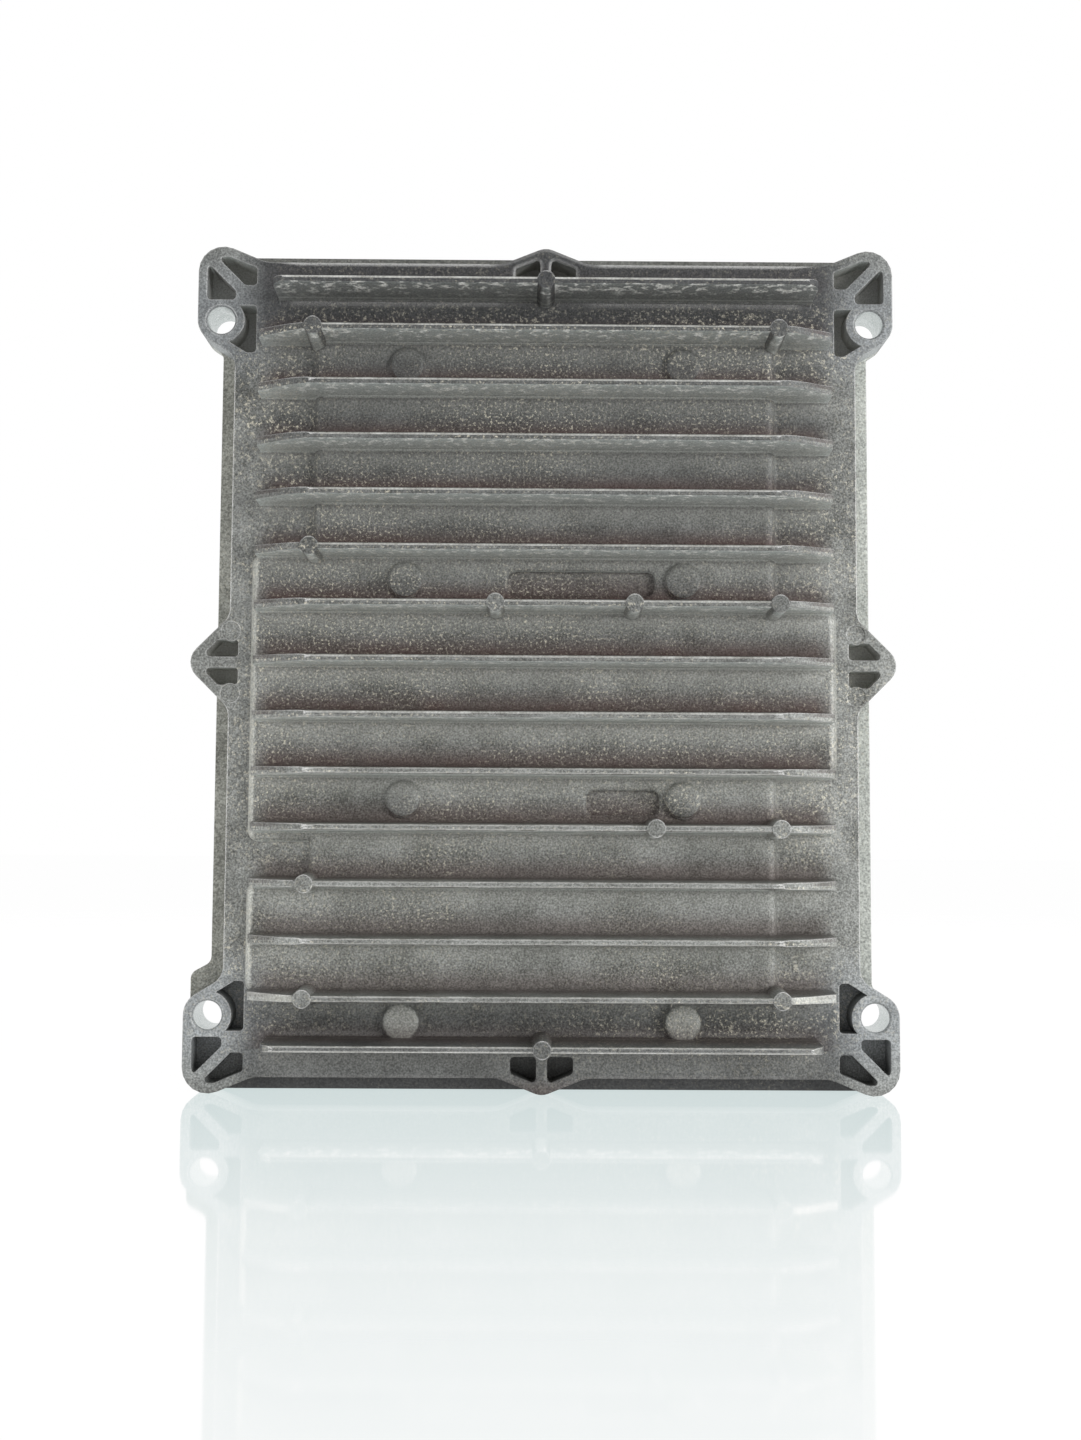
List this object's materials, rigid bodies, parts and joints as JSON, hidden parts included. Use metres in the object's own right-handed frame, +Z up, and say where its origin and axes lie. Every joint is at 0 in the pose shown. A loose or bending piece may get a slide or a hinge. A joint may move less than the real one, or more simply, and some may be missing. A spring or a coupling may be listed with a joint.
{
  "type": "engine control unit",
  "caption": "Finned die-cast engine control unit with corner mounting ears, a cast rear cover, a circuit board inside and two plug sockets on the rear.",
  "frame": {"origin": "middle of the unit's depth and width, at the edge it stands on", "axes": "+Z up the unit, -Y out through the fins, +X to the right as seen from the finned side"},
  "size_m": [0.2144, 0.0552, 0.2582],
  "materials": {
    "cast_aluminium": "weathered die-cast grey with oxide speckle and grime in the valleys",
    "cover_aluminium": "rough die-cast grey",
    "seal_rubber": "matt black",
    "screw_steel": "zinc plated",
    "board_laminate": "green solder mask",
    "socket_plastic": "black moulded, fine grain",
    "contact_brass": "bright plated",
    "chip_plastic": "black moulding compound",
    "can_metal": "bright drawn metal",
    "thermal_pad": "soft matt",
    "chip_ceramic": "matt fired",
    "membrane": "white matt film"
  },
  "bodies": {
    "root": {"finned_housing": "cast_aluminium", "rear_cover": "cover_aluminium", "cover_seal": "seal_rubber", "cover_screws": "screw_steel", "circuit_board": "board_laminate", "board_screws": "screw_steel", "engine_socket": "socket_plastic", "engine_socket_seal": "seal_rubber", "engine_pins": "contact_brass", "engine_socket_screws": "screw_steel", "vehicle_socket": "socket_plastic", "vehicle_socket_seal": "seal_rubber", "vehicle_pins": "contact_brass", "vehicle_socket_screws": "screw_steel", "vent_plug": "socket_plastic", "vent_seal": "seal_rubber", "vent_membrane": "membrane", "processor": "chip_plastic", "memory_chip": "chip_plastic", "driver_chips": "chip_plastic", "power_transistors": "chip_plastic", "thermal_pads": "thermal_pad", "capacitor_cans": "can_metal", "choke_coils": "chip_plastic", "quartz_crystal": "can_metal", "pressure_sensor": "chip_plastic", "chip_capacitors": "chip_ceramic", "chip_resistors": "chip_plastic", "protection_diodes": "chip_plastic"}
  },
  "joints": []
}
